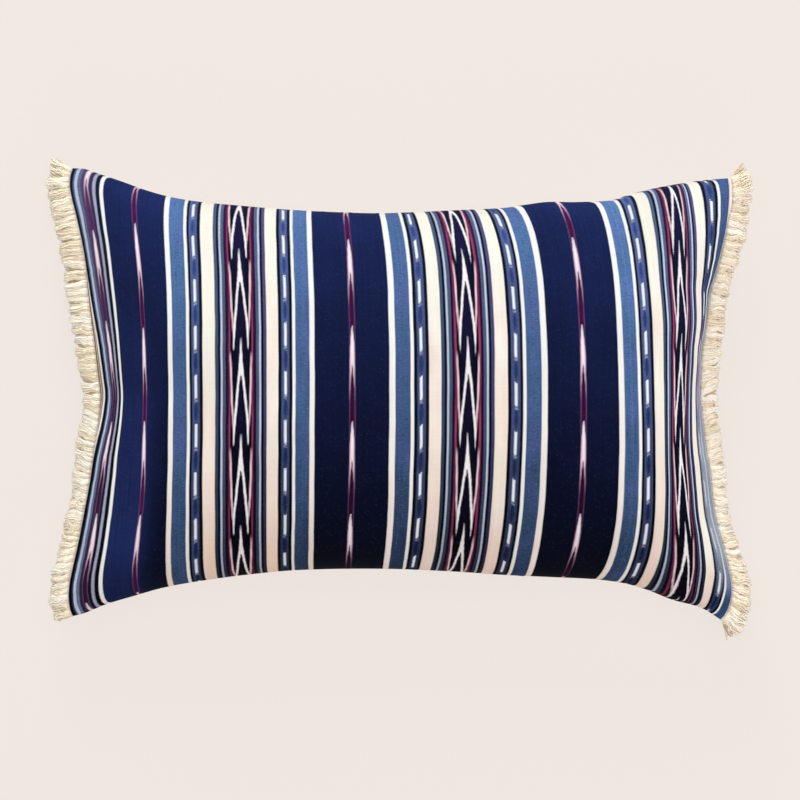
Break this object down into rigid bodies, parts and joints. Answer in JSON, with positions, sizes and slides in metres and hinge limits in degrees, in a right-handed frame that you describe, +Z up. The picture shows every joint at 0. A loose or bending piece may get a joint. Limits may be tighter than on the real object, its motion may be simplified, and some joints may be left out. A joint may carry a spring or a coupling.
{
  "type": "lumbar pillow",
  "caption": "Oblong filled pillow in handwoven warp-striped cotton, lying on its back, with drawn-in sides and a short cream brush fringe sewn into each short side.",
  "frame": {"origin": "middle of the overall box at its underside, on the surface that the pillow lies on", "axes": "+X along the pillow's length, +Y across its width to its upper long side, +Z up out of its striped front"},
  "size_m": [0.6418, 0.4336, 0.1579],
  "materials": {
    "striped_cloth": "matt handwoven cotton, warp stripes in indigo, denim blue, pale blue, white and wine red with ikat dashes; the hidden back panel is plain undyed cotton",
    "cream_yarn": "soft undyed cotton yarn, slightly crimped, cut straight at the tips"
  },
  "bodies": {
    "root": {"cushion": "striped_cloth", "fringe_left": "cream_yarn", "fringe_right": "cream_yarn"}
  },
  "joints": []
}
